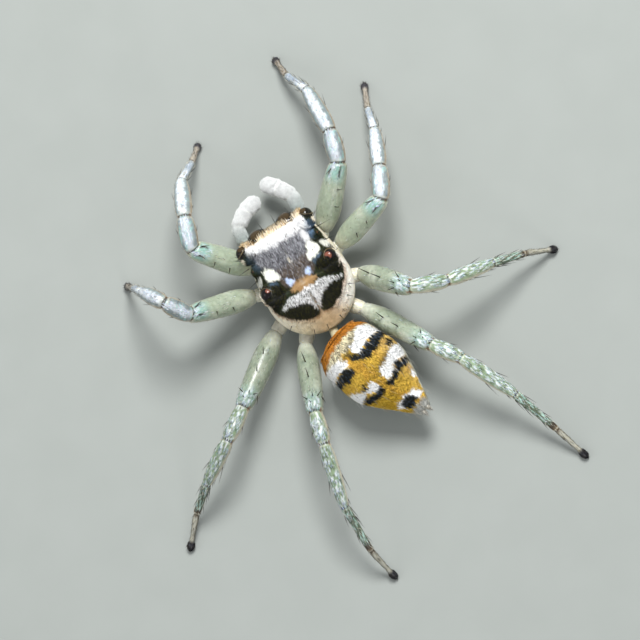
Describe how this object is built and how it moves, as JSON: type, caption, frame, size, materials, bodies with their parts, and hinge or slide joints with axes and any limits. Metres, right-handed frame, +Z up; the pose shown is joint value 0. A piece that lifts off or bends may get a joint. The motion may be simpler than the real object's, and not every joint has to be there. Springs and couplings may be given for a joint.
{
  "type": "phintella jumping spider",
  "caption": "Life-size still model of a small jumping spider standing on eight slender legs, with large front eyes and a tapered striped abdomen.",
  "frame": {"origin": "middle of the whole box, on the floor that the eight feet stand on", "axes": "+Z up; the face looks toward -Y; +X is the animal's left"},
  "size_m": [0.0084, 0.0092, 0.0018],
  "materials": {
    "carapace": "ivory cuticle under black, white and grey scales",
    "underside": "pale translucent cuticle",
    "lens": "glossy black lens",
    "amber_lens": "glossy dark amber lens",
    "chelicera": "satin yellow-brown cuticle",
    "palp": "white hairs over pale cuticle",
    "abdomen": "golden scales with white and black patches",
    "spinnerets": "pale grey cuticle",
    "femur": "translucent pale green cuticle",
    "leg_end": "pale cuticle with white and blue-green scales",
    "foot": "dusky cuticle with a black claw tuft"
  },
  "bodies": {
    "root": {"abdomen": "abdomen", "carapace": "carapace", "chelicera_left": "chelicera", "chelicera_right": "chelicera", "eye_front_middle_left": "amber_lens", "eye_front_middle_right": "amber_lens", "eye_front_side_left": "lens", "eye_front_side_right": "lens", "eye_rear_left": "lens", "eye_rear_right": "lens", "eye_small_middle_left": "lens", "eye_small_middle_right": "lens", "leg_left_1_coxa": "underside", "leg_left_1_femur": "femur", "leg_left_1_foot": "foot", "leg_left_1_patella": "leg_end", "leg_left_1_tibia": "leg_end", "leg_left_2_coxa": "underside", "leg_left_2_femur": "femur", "leg_left_2_foot": "foot", "leg_left_2_patella": "leg_end", "leg_left_2_tibia": "leg_end", "leg_left_3_coxa": "underside", "leg_left_3_femur": "femur", "leg_left_3_foot": "foot", "leg_left_3_patella": "leg_end", "leg_left_3_tibia": "leg_end", "leg_left_4_coxa": "underside", "leg_left_4_femur": "femur", "leg_left_4_foot": "foot", "leg_left_4_patella": "leg_end", "leg_left_4_tibia": "leg_end", "leg_right_1_coxa": "underside", "leg_right_1_femur": "femur", "leg_right_1_foot": "foot", "leg_right_1_patella": "leg_end", "leg_right_1_tibia": "leg_end", "leg_right_2_coxa": "underside", "leg_right_2_femur": "femur", "leg_right_2_foot": "foot", "leg_right_2_patella": "leg_end", "leg_right_2_tibia": "leg_end", "leg_right_3_coxa": "underside", "leg_right_3_femur": "femur", "leg_right_3_foot": "foot", "leg_right_3_patella": "leg_end", "leg_right_3_tibia": "leg_end", "leg_right_4_coxa": "underside", "leg_right_4_femur": "femur", "leg_right_4_foot": "foot", "leg_right_4_patella": "leg_end", "leg_right_4_tibia": "leg_end", "mouthparts": "underside", "palp_arm_left": "palp", "palp_arm_right": "palp", "palp_tip_left": "palp", "palp_tip_right": "palp", "pedicel": "underside", "spinnerets": "spinnerets", "sternum": "underside"}
  },
  "joints": []
}
